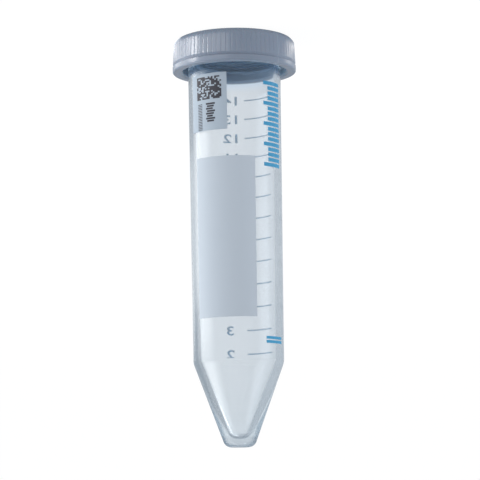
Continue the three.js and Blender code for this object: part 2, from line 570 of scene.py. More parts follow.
PRINCIPLED_SOCKETS = {
    "ior": "IOR",
    "metallic": "Metallic",
    "transmission": "Transmission Weight",
    "subsurface": "Subsurface Weight",
    "subsurface_scale": "Subsurface Scale",
    "colour": "Base Color",
    "roughness": "Roughness",
    "alpha": "Alpha",
    "normal": "Normal",
}


def make_group(name: str, inputs: dict[str, float], outputs: Sequence[str]) -> tuple:
    """Start a shader node group with named value sockets.

    Args:
        name: The group's name.
        inputs: Each input's name and default.
        outputs: Each output's name.

    Returns:
        The group, its graph, its input node and its output node.
    """
    tree = bpy.data.node_groups.new(name, "ShaderNodeTree")
    for label, default in inputs.items():
        socket = tree.interface.new_socket(label, in_out="INPUT", socket_type="NodeSocketFloat")
        socket.default_value = default
    for label in outputs:
        tree.interface.new_socket(label, in_out="OUTPUT", socket_type="NodeSocketFloat")
    graph = Graph(tree)
    return tree, graph, graph.add("NodeGroupInput"), graph.add("NodeGroupOutput")


def moulded_skin_group() -> bpy.types.NodeTree:
    """The faint unevenness of a moulded plastic skin.

    Returns:
        A group that takes Grain and Flow scales and gives Mottle, Height and Haze.
    """
    tree, graph, given, out = make_group(
        "moulded_skin",
        {"Grain Scale": 2600.0, "Flow Scale": 160.0, "Flow Length": 0.15},
        ("Mottle", "Height", "Haze"),
    )
    place = graph.object_place()
    axes = {"X": 1.0, "Y": 1.0, "Z": given.outputs["Flow Length"]}
    lengths = graph.fed("ShaderNodeCombineXYZ", axes)
    drawn = graph.fed("ShaderNodeVectorMath", {0: place, 1: lengths.outputs[0]}, operation="MULTIPLY")
    flow = graph.noise(drawn.outputs[0], given.outputs["Flow Scale"], 3.0)
    grain = graph.noise(place, given.outputs["Grain Scale"], 2.0)
    cloud = graph.noise(place, 90.0, 4.0)
    height = graph.maths("ADD", graph.maths("MULTIPLY", flow, 0.7), graph.maths("MULTIPLY", grain, 0.3))
    graph.feed(out.inputs["Height"], height)
    graph.feed(out.inputs["Mottle"], graph.maths("MULTIPLY", graph.maths("ADD", flow, cloud), 0.5))
    graph.feed(out.inputs["Haze"], graph.maths("MULTIPLY", graph.maths("ADD", cloud, grain), 0.5))
    return tree


def rubbed_edge_group() -> bpy.types.NodeTree:
    """Where handling has polished the ridges and edges of a piece.

    Returns:
        A group that takes Reach and Breakup Scale and gives a Mask.
    """
    tree, graph, given, out = make_group(
        "rubbed_edge", {"Reach": 0.06, "Breakup Scale": 700.0}, ("Mask",)
    )
    raised = graph.maths("SUBTRACT", graph.add("ShaderNodeNewGeometry").outputs["Pointiness"], 0.5)
    strength = graph.maths("DIVIDE", raised, given.outputs["Reach"])
    broken = graph.noise(graph.object_place(), given.outputs["Breakup Scale"], 3.0)
    clipped = graph.fed("ShaderNodeClamp", {"Value": graph.maths("MULTIPLY", strength, broken)})
    graph.feed(out.inputs["Mask"], clipped.outputs[0])
    return tree


def ink_cover_group() -> bpy.types.NodeTree:
    """The uneven cover of screen-printed ink.

    Returns:
        A group that takes Speck Scale and Thin and gives a Cover and a Tone.
    """
    tree, graph, given, out = make_group(
        "ink_cover", {"Speck Scale": 5200.0, "Thin": 0.12}, ("Cover", "Tone")
    )
    place = graph.object_place()
    specks = graph.noise(place, given.outputs["Speck Scale"], 2.0)
    drift = graph.noise(place, 140.0, 3.0)
    lost = graph.maths("MULTIPLY", specks, given.outputs["Thin"])
    graph.feed(out.inputs["Cover"], graph.maths("SUBTRACT", 1.0, lost))
    graph.feed(out.inputs["Tone"], graph.maths("MULTIPLY", graph.maths("ADD", specks, drift), 0.5))
    return tree


class Groups:
    """The node groups that the materials share, each built once."""

    def __init__(self) -> None:
        """Build every group."""
        self.moulded_skin = moulded_skin_group()
        self.rubbed_edge = rubbed_edge_group()
        self.ink_cover = ink_cover_group()

    @staticmethod
    def place(graph: Graph, group: bpy.types.NodeTree, **values: float) -> Node:
        """Put a group in a material.

        Args:
            graph: The material's graph.
            group: The group to place.
            values: Its inputs, by name with underscores for spaces.

        Returns:
            The group's node.
        """
        node = graph.add("ShaderNodeGroup", node_tree=group)
        for key, value in values.items():
            node.inputs[key.replace("_", " ").title()].default_value = value
        return node


def start_material(name: str) -> tuple[Material, Graph]:
    """Start a node material.

    Args:
        name: Its name.

    Returns:
        The material, with an empty tree, and the tree's graph.
    """
    material = bpy.data.materials.new(name)
    material.use_nodes = True
    return material, Graph(material.node_tree)


# ---------------------------------------------------------------- materials


@dataclass(frozen=True)
class ClearPolypropylene:
    """Natural polypropylene in a thin wall: clear, faintly milky, cool in tone."""

    name: str = "clear_polypropylene"
    tint: Colour = (0.91, 0.924, 0.938)
    deep_tint: Colour = (0.885, 0.903, 0.922)
    # Darker tint towards -X, the side away from the key lamp: painted shade.
    aged_tint: Colour = (0.868, 0.887, 0.908)
    aged_side: Span = (-8.0 * MM, 2.0 * MM)
    shade_tint: Colour = (0.62, 0.66, 0.70)
    trapped_tint: Colour = (0.93, 0.945, 0.96)
    depth_tint: Colour = (0.25, 0.50, 0.64)
    depth_density: float = 45.0
    transmission: float = 0.975
    roughness: Span = (0.04, 0.09)
    matt_roughness: float = 0.26
    matt_length: float = 6.5 * MM
    matt_blend: float = 3.0 * MM
    solid_tint: Colour = (0.62, 0.645, 0.68)
    solid_length: float = 2.6 * MM
    solid_blend: float = 0.8 * MM
    # Blue tint on the neck inside the cap and just below its rim: painted shadow of the cap.
    neck_tint: Colour = (0.76, 0.885, 1.0)
    neck_blend: Span = (-0.6 * MM, 3.2 * MM)

    def build(self, groups: Groups, neck_z: float, tip_z: float) -> Material:
        """Make the material.

        Args:
            groups: The shared node groups.
            neck_z: Height where the neck ends, round which the tube carries a painted blue shadow of the
                cap.
            tip_z: Height of the tip, whose end is matt outside and solid inside.

        Returns:
            A material that lets lamps shine through it.
        """
        material, graph = start_material(self.name)
        skin = groups.place(graph, groups.moulded_skin, flow_scale=120.0, flow_length=0.1)
        place = graph.separate(graph.object_place())
        matt_z, solid_z = tip_z - self.matt_length, tip_z - self.solid_length
        matt = graph.ramp(place.outputs["Z"], matt_z, matt_z + self.matt_blend)
        solid = graph.ramp(place.outputs["Z"], solid_z, solid_z + self.solid_blend)
        # Mask of the painted cap shadow: 0 on the neck, 1 on the body further from the rim.
        body = graph.ramp(place.outputs["Z"], *(neck_z + end for end in self.neck_blend))
        mottled = graph.mix_colour(skin.outputs["Mottle"], self.tint, self.deep_tint)
        # The tube turns darker towards -X: painted shade on the side away from the key lamp.
        clear = graph.mix_colour(graph.ramp(place.outputs["X"], *self.aged_side), self.aged_tint, mottled)
        clear = graph.mix_colour(solid, clear, self.solid_tint)
        haze = graph.stretch(skin.outputs["Haze"], *self.roughness)
        shader = graph.principled(ior=1.49, metallic=0.0, transmission=self.transmission)
        plastic = graph.drive(
            shader,
            colour=graph.mix_colour(body, self.neck_tint, clear),
            roughness=graph.maths("MAXIMUM", haze, graph.maths("MULTIPLY", matt, self.matt_roughness)),
            normal=graph.bump(skin.outputs["Height"], 0.005 * MM, 0.12),
        )
        path = graph.add("ShaderNodeLightPath")
        trapped = graph.maths("GREATER_THAN", path.outputs["Glossy Depth"], TRAPPED_DEPTH)
        plastic = self.let_through(graph, trapped, plastic, self.trapped_tint)
        plastic = self.let_through(graph, path.outputs["Is Shadow Ray"], plastic, self.shade_tint)
        depth = {"Color": self.depth_tint, "Density": self.depth_density}
        deep = graph.fed("ShaderNodeVolumeAbsorption", depth)
        graph.feed(graph.surface(plastic).inputs["Volume"], deep.outputs[0])
        return material

    @staticmethod
    def let_through(graph: Graph, share: Socket, shader: Socket, tint: Colour) -> Socket:
        """Let some rays straight through a shader.

        Args:
            graph: The material's graph.
            share: How much of the ray goes straight on.
            shader: What the rest meets.
            tint: What the plastic takes from a ray that goes straight on.

        Returns:
            The mix of the two.
        """
        clear = graph.fed("ShaderNodeBsdfTransparent", {"Color": tint})
        return graph.mix_shader(share, shader, clear.outputs[0])


@dataclass(frozen=True)
class CapPolyethylene:
    """Opaque grey-blue polyethylene with a satin moulded skin and rubbed ribs."""

    name: str = "cap_polyethylene"
    colour: Colour = (0.175, 0.21, 0.268)
    pale: Colour = (0.20, 0.236, 0.298)
    rubbed: Colour = (0.22, 0.26, 0.32)
    # Paler, bluer colour on the cap's inside faces: painted light bounced round the shaded inside.
    inside: Colour = (0.29, 0.36, 0.43)
    inside_blend: Span = (0.1 * MM, 0.6 * MM)
    roughness: Span = (0.19, 0.29)

    def build(self, groups: Groups, skirt_bore: float) -> Material:
        """Make the material.

        Args:
            groups: The shared node groups.
            skirt_bore: Radius of the skirt's inside, within which the colour is paler: painted bounce light.

        Returns:
            The cap's one opaque material.
        """
        material, graph = start_material(self.name)
        skin = groups.place(graph, groups.moulded_skin, grain_scale=3400.0, flow_scale=210.0)
        worn = groups.place(graph, groups.rubbed_edge, reach=0.10)
        radius = graph.from_axis(graph.separate(graph.object_place()))
        # Within the bore the cap takes the paler inside colour: painted bounce light.
        outer = graph.ramp(radius, *(skirt_bore + end for end in self.inside_blend))
        outside = graph.mix_colour(skin.outputs["Mottle"], self.colour, self.pale)
        outside = graph.mix_colour(worn.outputs["Mask"], outside, self.rubbed)
        shader = graph.principled(ior=1.51, metallic=0.0, subsurface=0.08, subsurface_scale=0.6 * MM)
        plastic = graph.drive(
            shader,
            colour=graph.mix_colour(outer, self.inside, outside),
            roughness=graph.stretch(skin.outputs["Haze"], *self.roughness),
            normal=graph.bump(skin.outputs["Height"], 0.02 * MM, 0.25),
        )
        graph.surface(plastic)
        return material


@dataclass(frozen=True)
class Ink:
    """A printed ink: its colour, how thinly it covers and how much shows through it."""

    name: str
    colour: Colour
    pale: Colour
    alpha: float = 1.0
    thin: float = 0.1
    roughness: Span = (0.45, 0.62)

    def build(self, groups: Groups) -> Material:
        """Make the material.

        Args:
            groups: The shared node groups.

        Returns:
            The ink, which lets a little of what it covers show.
        """
        material, graph = start_material(self.name)
        cover = groups.place(graph, groups.ink_cover, thin=self.thin)
        tone = cover.outputs["Tone"]
        ink = graph.drive(
            graph.principled(ior=1.5, metallic=0.0),
            colour=graph.mix_colour(tone, self.colour, self.pale),
            roughness=graph.stretch(tone, *self.roughness),
            alpha=graph.maths("MULTIPLY", cover.outputs["Cover"], self.alpha),
            normal=graph.bump(tone, 0.01 * MM, 0.3),
        )
        graph.surface(ink)
        return material


@dataclass(frozen=True)
class LabelFilm:
    """A thin satin film label, pale grey-blue."""

    name: str = "label_film"
    colour: Colour = (0.308, 0.366, 0.426)
    pale: Colour = (0.337, 0.394, 0.455)
    roughness: Span = (0.46, 0.62)

    def build(self, groups: Groups) -> Material:
        """Make the material.

        Args:
            groups: The shared node groups.

        Returns:
            The film's opaque material.
        """
        material, graph = start_material(self.name)
        skin = groups.place(graph, groups.moulded_skin, grain_scale=4200.0, flow_length=1.0)
        film = graph.drive(
            graph.principled(ior=1.46, metallic=0.0),
            colour=graph.mix_colour(skin.outputs["Mottle"], self.colour, self.pale),
            roughness=graph.stretch(skin.outputs["Haze"], *self.roughness),
            normal=graph.bump(skin.outputs["Height"], 0.015 * MM, 0.3),
        )
        graph.surface(film)
        return material


PANEL_INK = Ink("panel_ink", (0.427, 0.483, 0.54), (0.457, 0.508, 0.565), alpha=0.93, thin=0.06)
SCALE_INK = Ink("scale_ink", (0.13, 0.42, 0.60), (0.17, 0.46, 0.64), alpha=0.62, thin=0.3)
ACCENT_INK = Ink("accent_ink", (0.028, 0.238, 0.43), (0.04, 0.275, 0.47), alpha=0.97, thin=0.12)
LABEL_INK = Ink("label_ink", (0.02, 0.02, 0.03), (0.05, 0.05, 0.06), thin=0.15)


# -------------------------------------------------------------------- thread


@dataclass(frozen=True)
class Thread:
    """A helical ridge on a round wall, by its place, pitch and section."""

    start_z: float
    height: float
    foot: float
    crest: float
    pitch: float = 1.9 * MM
    turns: float = 1.25
    fade_deg: float = 40.0

    def relief(self, z: float, angles: np.ndarray) -> np.ndarray:
        """How far the ridge stands out of the wall.

        Args:
            z: Height of the ring.
            angles: Angles round the axis in radians, from 0 to 2 pi.

        Returns:
            The height at each angle, at most the thread's own.
        """
        whole = 2 * math.pi * self.turns
        best = np.zeros_like(angles)
        for turn in range(math.ceil(self.turns)):
            along = angles + 2 * math.pi * turn
            off = np.abs(z - (self.start_z + self.pitch * along / (2 * math.pi)))
            flank = np.clip((self.foot / 2 - off) / ((self.foot - self.crest) / 2), 0, 1)
            ends = np.clip(np.minimum(along, whole - along) / math.radians(self.fade_deg), 0, 1)
            best = np.maximum(best, flank * ends * ends * (3 - 2 * ends))
        return best * self.height


# ---------------------------------------------------------------------- tube


@dataclass
class TubeBody:
    """The clear moulding: cavity, lip, threaded neck, drafted body, cone and blunt tip."""

    places: Frame
    finish: Material
    columns: int = 224
    shoulder_bore: float = 8.0 * MM
    mouth_bore: float = 8.7 * MM
    neck_radius: float = 9.8 * MM
    neck_step: float = 0.5 * MM
    neck_step_inset: float = 0.7 * MM
    thread_rings: int = 44
    thread_from_mouth: float = 1.15 * MM
    lip_round: float = 0.35 * MM
    shoulder_round: float = 3.5 * MM
    cavity_shoulder_round: float = 1.9 * MM
    tip_flat: float = 1.8 * MM
    tip_round: float = 1.8 * MM
    tip_wall: float = 2.2 * MM
    cavity_round: float = 1.9 * MM
    cavity_lead: float = 0.3 * MM
    gate_radius: float = 0.7 * MM
    gate_slope: float = 1.25
    gate_depth: float = 0.12 * MM

    def thread(self) -> Thread:
        """The ridge on the neck, just inside the mouth's end of the cap."""
        start_z = self.places.mouth_z + self.thread_from_mouth
        return Thread(start_z, height=0.4 * MM, foot=1.1 * MM, crest=0.2 * MM)

    def cavity(self) -> list[Ring]:
        """The hollow.

        Returns:
            The rings from its round end on the axis to the end of the cone.
        """
        end_z = self.places.tip_z - self.tip_wall
        round_z = end_z - self.cavity_round
        shoulder_z = self.places.shoulder_z - self.cavity_lead
        half = cone_half_angle(self.shoulder_bore, round_z - shoulder_z, self.cavity_round)
        corner = (self.shoulder_bore, shoulder_z)
        return [
            Ring(0.0, end_z),
            *arc_rings((0.0, round_z), self.cavity_round, 88, half, 12),
            *shoulder_rings(corner, self.cavity_shoulder_round, half, outward=False),
        ]

    def lip(self) -> list[Ring]:
        """The rounded lip.

        Returns:
            The rings from the bore out to the neck.
        """
        z = self.places.mouth_z + self.lip_round
        inner = (self.mouth_bore + self.lip_round, z)
        outer = (self.neck_radius - self.lip_round, z)
        return [
            *arc_rings(inner, self.lip_round, 180, 270, 6),
            *arc_rings(outer, self.lip_round, 270, 360, 6),
        ]

    def neck(self) -> list[Ring]:
        """The threaded neck and its step out to the body.

        Returns:
            The rings from the lip to the body.
        """
        body_z = self.places.rim_z - self.neck_step_inset
        first = Ring(self.neck_radius, self.places.mouth_z + 1.2 * self.lip_round, Relief.THREAD)
        last = Ring(self.neck_radius, body_z - self.neck_step, Relief.THREAD)
        return [
            first,
            *line_rings(first, last, self.thread_rings),
            last,
            Ring(self.places.wall_radius(body_z), body_z),
        ]

    def outside(self) -> list[Ring]:
        """The body's shoulder, the cone and the blunt tip with its gate mark.

        Returns:
            The rings from the shoulder to the axis.
        """
        centre_z = self.places.tip_z - self.tip_round
        corner = (self.places.shoulder_radius, self.places.shoulder_z)
        half = cone_half_angle(corner[0] - self.tip_flat, centre_z - corner[1], self.tip_round)
        gate_z = self.places.tip_z - self.gate_depth
        return [
            *shoulder_rings(corner, self.shoulder_round, half, outward=True),
            *arc_rings((self.tip_flat, centre_z), self.tip_round, half, 90, 12),
            Ring(self.gate_radius * self.gate_slope, self.places.tip_z),
            Ring(self.gate_radius, gate_z),
            Ring(0.0, gate_z),
        ]

    def build(self) -> Piece:
        """Make the tube and hide its node, which it takes the place of.

        Returns:
            The tube, riding on its body.
        """
        thread = self.thread()

        def relief_of(ring: Ring, angles: np.ndarray) -> np.ndarray:
            """The thread's ridge on the neck's rings, and nothing elsewhere."""
            return thread.relief(ring.z, angles) if ring.relief is Relief.THREAD else 0 * angles

        rings = [*self.cavity(), *self.lip(), *self.neck(), *self.outside()]
        tube = revolved("conical_tube", rings, self.columns, relief_of)
        tube.data.materials.append(self.finish)
        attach(tube, Body.TUBE.value)
        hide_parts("tube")
        return tube


# ----------------------------------------------------------------------- cap


@dataclass
class ScrewCap:
    """The cap: flat top, ribbed wall, plain band, threaded bore and sealing plug."""

    places: Frame
    finish: Material
    rib_count: int = 78
    columns_per_rib: int = 14
    top_thickness: float = 1.5 * MM
    top_round: float = 1.1 * MM
    skirt_top: float = 12.85 * MM
    skirt_band: float = 13.05 * MM
    band_height: float = 1.35 * MM
    band_rise: float = 0.15 * MM
    rim_round: float = 0.3 * MM
    bore: float = 11.2 * MM
    bore_corner: Span = (0.2 * MM, 0.25 * MM)
    thread_rings: int = 27
    thread_from_top: float = 2.4 * MM
    mouth_chamfer: float = 0.4 * MM
    rib_height: float = 0.06 * MM
    rib_base: float = 0.18 * MM
    rib_fade: float = 0.55 * MM
    rib_start: float = 0.45
    groove_floor: float = 0.985
    groove_flank: float = 0.25
    plug_radius: float = 8.4 * MM
    plug_wall: float = 1.0 * MM
    plug_depth: float = 2.2 * MM
    plug_lead: float = 0.35 * MM
    plug_foot: float = 0.2 * MM
    plug_edge: float = 0.1 * MM

    def thread(self) -> Thread:
        """The ridge in the bore, half a pitch away from the neck's."""
        start_z = self.top_thickness + self.thread_from_top
        return Thread(start_z, height=0.6 * MM, foot=0.9 * MM, crest=0.3 * MM)

    def ribs(self, angles: np.ndarray) -> np.ndarray:
        """The ribs' height round the wall, as broad smooth crests with narrow grooves.

        Args:
            angles: Angles round the axis, in radians.

        Returns:
            The height at each angle.
        """
        wave = (np.cos(angles * self.rib_count) + self.groove_floor) / self.groove_flank
        share = np.clip(wave, 0, 1)
        return self.rib_height * share * share * (3 - 2 * share)

    def outer_wall(self) -> list[Ring]:
        """The top's rounded edge, the ribbed wall and the plain band.

        Returns:
            The rings from the flat top to the open rim.
        """
        start = self.top_round * self.rib_start
        band_z = self.places.rim_z - self.band_height
        rim, rim_z = self.places.rim_radius - self.rim_round, self.places.rim_z - self.rim_round
        edge = arc_rings((self.skirt_top - self.top_round, self.top_round), self.top_round, 270, 360, 12)
        wall_start = Ring(self.skirt_top, self.top_round, Relief.RIBS)
        wall_end = Ring(self.skirt_band, band_z - self.rib_fade, Relief.RIBS)
        fade_end = Ring(self.skirt_band, band_z, Relief.RIBS, 0.0)
        return [
            *(
                replace(ring, relief=Relief.RIBS, rise=min(1.0, max(0.0, (ring.z - start) / self.rib_fade)))
                for ring in edge
            ),
            *line_rings(wall_start, wall_end, 2),
            wall_end,
            *line_rings(wall_end, fade_end, 5),
            fade_end,
            Ring(self.places.rim_radius, band_z + self.band_rise),
            *arc_rings((rim, rim_z), self.rim_round, 0, 90, 5),
        ]

    def inner_wall(self) -> list[Ring]:
        """The rim's chamfer, the threaded bore and the corner to the top's inner face.

        Returns:
            The rings from the open rim to the inner face.
        """
        rim_z = self.places.rim_z
        corner_radius, corner_z = self.bore_corner
        first = Ring(self.bore, rim_z - self.mouth_chamfer, Relief.THREAD)
        last = Ring(self.bore, self.top_thickness + corner_z, Relief.THREAD)
        return [
            Ring(self.bore + self.mouth_chamfer, rim_z),
            first,
            *line_rings(first, last, self.thread_rings),
            last,
            Ring(self.bore - corner_radius, self.top_thickness),
        ]

    def plug(self) -> list[Ring]:
        """The sealing ring that hangs from the top's inner face.

        Returns:
            The rings from the plug's outer foot to the axis.
        """
        face_z = self.top_thickness
        end_z = face_z + self.plug_depth
        inner = self.plug_radius - self.plug_wall
        return [
            Ring(self.plug_radius + self.plug_foot, face_z),
            Ring(self.plug_radius, face_z + self.plug_foot),
            Ring(self.plug_radius, end_z - 2 * self.plug_lead),
            Ring(self.plug_radius - self.plug_lead, end_z),
            Ring(inner + self.plug_edge, end_z),
            Ring(inner, end_z - self.plug_edge),
            Ring(inner, face_z + self.plug_foot),
            Ring(inner - self.plug_foot, face_z),
            Ring(0.0, face_z),
        ]

    def build(self) -> Piece:
        """Make the cap and hide its node, which it takes the place of.

        Returns:
            The cap, riding on its body.
        """
        thread = self.thread()

        def relief_of(ring: Ring, angles: np.ndarray) -> np.ndarray:
            """What the cap's rings carry.

            Args:
                ring: The ring.
                angles: Angles round the axis, in radians.

            Returns:
                The ribs on the wall and the thread's ridge into the bore.
            """
            if ring.relief is Relief.RIBS:
                return (self.rib_base + self.ribs(angles)) * ring.rise
            return -thread.relief(ring.z, angles) if ring.relief is Relief.THREAD else 0 * angles

        rings = [Ring(0.0, 0.0), *self.outer_wall(), *self.inner_wall(), *self.plug()]
        cap = revolved("screw_cap", rings, self.rib_count * self.columns_per_rib, relief_of)
        cap.data.materials.append(self.finish)
        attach(cap, Body.CAP.value)
        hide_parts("cap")
        return cap


# --------------------------------------------------------------------- print


@dataclass
class Printed:
    """Base of what is printed on the tube's wall and rides with it."""

    places: Frame
    finish: Material
    lift: float = 0.02 * MM
    thickness: float = 0.025 * MM

    def sheet(self) -> WrappedSheet:
        """An empty sheet at the print's own height off the wall."""
        return WrappedSheet(self.places, self.lift, self.thickness)

    def dress(self, obj: Piece, slot: Slot) -> Piece:
        """Give a piece its finish and its body.

        Args:
            obj: The piece.
            slot: The material slot that it takes. Not used.

        Returns:
            The same piece.
        """
        obj.data.materials.append(self.finish)
        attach(obj, Body.TUBE.value)
        return obj


@dataclass
class WritingPanel(Printed):
    """The large pale field to write on, printed on the front of the tube."""

    thickness: float = 0.03 * MM
    start_deg: float = -24.5
    end_deg: float = 56.0
    from_rim: float = 19.8 * MM
    to_rim: float = 53.9 * MM

    def build(self) -> Piece:
        """Make the field of ink.

        Returns:
            The panel.
        """
        sheet = self.sheet()
        low, high = self.places.below_rim(self.from_rim), self.places.below_rim(self.to_rim)
        sheet.add(Patch(self.start_deg, self.end_deg, low, high), rows=8)
        return self.dress(sheet.make("writing_panel"), Slot.PANEL_INK)


@dataclass
class VolumeScale(Printed):
    """The lines of the scale, one for each millilitre, on the back of the tube."""

    first_ml: int = 14
    last_ml: int = 2
    from_rim: float = 4.42 * MM
    first_step: float = 4.17 * MM
    step_growth: float = 0.0916 * MM
    start_deg: float = 180.0 + 13.0
    end_deg: float = 180.0 + 64.0
    line_width: float = 0.26 * MM

    def heights(self) -> dict[int, float]:
        """Height of each mark: the steps grow as the bore narrows towards the tip.

        Returns:
            The height of the line for each whole millilitre.
        """
        found, z, step = {}, self.places.below_rim(self.from_rim), self.first_step
        for volume in range(self.first_ml, self.last_ml - 1, -1):
            found[volume] = z
            z += step
            step += self.step_growth
        return found

    def build(self) -> Piece:
        """Make all the lines as one piece.

        Returns:
            The lines.
        """
        sheet = self.sheet()
        for z in self.heights().values():
            low, high = z - self.line_width / 2, z + self.line_width / 2
            sheet.add(Patch(self.start_deg, self.end_deg, low, high))
        return self.dress(sheet.make("scale_lines"), Slot.SCALE_INK)


@dataclass
class ScaleNumbers(Printed):
    """The plain numbers beside the scale's lines, read from behind the tube."""

    heights: dict[int, float] = field(default_factory=dict)
    digit_height: float = 1.9 * MM
    font_height: float = 0.69
    stroke_gain: float = 0.018
    widen: float = 1.6
    end_offset: float = 3.1 * MM

    def glyphs(self, text: str) -> bpy.types.Mesh:
        """Some text as a flat mesh, thickened by one unit.

        Args:
            text: What to write.

        Returns:
            The mesh, whose digits are as high as font_height says.
        """
        curve = bpy.data.curves.new("number", "FONT")
        curve.body = text
        curve.size = 1.0
        curve.align_x = "RIGHT"
        curve.extrude = 0.5
        curve.offset = self.stroke_gain
        curve.resolution_u = 6
        holder = bpy.data.objects.new("number", curve)
        bpy.context.scene.collection.objects.link(holder)
        bpy.context.view_layer.update()
        mesh = bpy.data.meshes.new_from_object(holder.evaluated_get(bpy.context.evaluated_depsgraph_get()))
        bpy.data.objects.remove(holder)
        bpy.data.curves.remove(curve)
        return mesh

    def wrap(self, point: Vector, z: float) -> Place:
        """A glyph's point on the back wall, with the top of the digit towards the cap.

        Args:
            point: The point, in units of the digit's size.
            z: Height of the middle of the digit.

        Returns:
            The point in the part's frame.
        """
        size = self.digit_height / self.font_height
        along = self.end_offset + point.x * size * self.widen
        height = z - (point.y - self.font_height / 2) * size
        radius = self.places.wall_radius(height)
        angle = along / radius
        out = radius + self.lift + (point.z + 0.5) * self.thickness
        return (out * math.sin(angle), out * math.cos(angle), height)

    def build(self) -> Piece:
        """Make all the numbers as one piece.

        Returns:
            The numbers.
        """
        vertices: list[Place] = []
        faces: list[tuple[int, ...]] = []
        for volume, z in self.heights.items():
            mesh = self.glyphs(str(volume))
            base = len(vertices)
            vertices.extend(self.wrap(v.co, z) for v in mesh.vertices)
            faces.extend(tuple(base + i for i in p.vertices) for p in mesh.polygons)
            bpy.data.meshes.remove(mesh)
        return self.dress(weld(new_mesh_object("scale_numbers", vertices, faces)), Slot.SCALE_INK)


@dataclass
class AccentBars(Printed):
    """A column of plain light blue bars down the side of the tube."""

    start_deg: float = -37.5
    end_deg: float = -69.0
    shorter_deg: float = 7.0
    long_every: int = 4
    from_rim: float = 3.4 * MM
    bars: int = 17
    pitch: float = 1.1 * MM
    bar_height: float = 0.8 * MM
    low_bars: int = 2
    low_from_rim: float = 57.9 * MM
    low_pitch: float = 0.85 * MM
    low_height: float = 0.6 * MM

    def build(self) -> Piece:
        """Make the bars, each fourth one longer, and the two bars near the shoulder.

        Returns:
            The bars.
        """
        sheet = self.sheet()
        for bar in range(self.bars):
            low = self.places.below_rim(self.from_rim + bar * self.pitch)
            shorter = self.shorter_deg if bar % self.long_every else 0.0
            sheet.add(Patch(self.start_deg - shorter, self.end_deg, low, low + self.bar_height))
        for bar in range(self.low_bars):
            low = self.places.below_rim(self.low_from_rim + bar * self.low_pitch)
            sheet.add(Patch(self.start_deg, self.end_deg, low, low + self.low_height))
        return self.dress(sheet.make("accent_bars"), Slot.ACCENT_INK)


# --------------------------------------------------------------------- label


@dataclass
class CodeLabel:
    """The film label under the cap, with a generic pattern of squares and bars."""

    places: Frame
    film: Material
    ink: Material
    start_deg: float = 9.5
    end_deg: float = 62.0
    from_rim: float = 1.8 * MM
    height: float = 12.3 * MM
    film_lift: float = 0.04 * MM
    film_thickness: float = 0.15 * MM
    ink_lift: float = 0.01 * MM
    ink_thickness: float = 0.02 * MM
    seed: int = 15
    cells: int = 16
    code_start_deg: float = 16.0
    code_end_deg: float = 51.5
    code_from_rim: float = 2.5 * MM
    code_height: float = 4.9 * MM
    frame_chance: float = 0.8
    cell_chance: Span = (0.52, 0.30)
    bars: int = 8
    bars_from_rim: float = 8.2 * MM
    bar_pitch: float = 0.53 * MM
    bar_height: float = 0.38 * MM
    bar_reach_deg: Span = (24.5, 37.0)
    bar_stagger_deg: float = 1.5
    lines: int = 17
    lines_from_rim: float = 8.3 * MM
    line_pitch: float = 0.34 * MM
    line_height: float = 0.15 * MM
    line_reach_deg: Span = (43.0, 50.0)

    def build_film(self) -> Piece:
        """Make the film itself, and hide the label's node that it takes the place of.

        Returns:
            The film, riding on the tube.
        """
        sheet = WrappedSheet(self.places, self.film_lift, self.film_thickness)
        low = self.places.below_rim(self.from_rim)
        sheet.add(Patch(self.start_deg, self.end_deg, low, low + self.height), rows=4)
        film = sheet.make("label_film")
        film.data.materials.append(self.film)
        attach(film, Body.TUBE.value)
        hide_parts("code_label")
        return film

    def add_squares(self, sheet: WrappedSheet) -> None:
        """Add a random pattern of squares that is denser at its rim and on its left.

        Args:
            sheet: Where the squares go.
        """
        chance = random.Random(self.seed)
        width = (self.code_end_deg - self.code_start_deg) / self.cells
        height = self.code_height / self.cells
        top = self.places.below_rim(self.code_from_rim)
        ends = (0, self.cells - 1)
        least, more = self.cell_chance
        for row in range(self.cells):
            for column in range(self.cells):
                likely = least + more * (1 - column / self.cells)
                if chance.random() < (self.frame_chance if row in ends or column in ends else likely):
                    start = self.code_start_deg + column * width
                    low = top + row * height
                    sheet.add(Patch(start, start + width, low, low + height))

    def build_code(self) -> Piece:
        """Make the square pattern, the block of short bars and the row of thin lines.

        Returns:
            The print, riding on the tube.
        """
        lift = self.film_lift + self.film_thickness + self.ink_lift
        sheet = WrappedSheet(self.places, lift, self.ink_thickness)
        self.add_squares(sheet)
        first, last = self.bar_reach_deg
        for bar in range(self.bars):
            low = self.places.below_rim(self.bars_from_rim + bar * self.bar_pitch)
            start = first + self.bar_stagger_deg * (bar % 3)
            sheet.add(Patch(start, last - self.bar_stagger_deg * (bar % 2), low, low + self.bar_height))
        for line in range(self.lines):
            low = self.places.below_rim(self.lines_from_rim + line * self.line_pitch)
            sheet.add(Patch(*self.line_reach_deg, low, low + self.line_height))
        code = sheet.make("label_code")
        code.data.materials.append(self.ink)
        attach(code, Body.TUBE.value)
        return code


# -------------------------------------------------------------------- studio


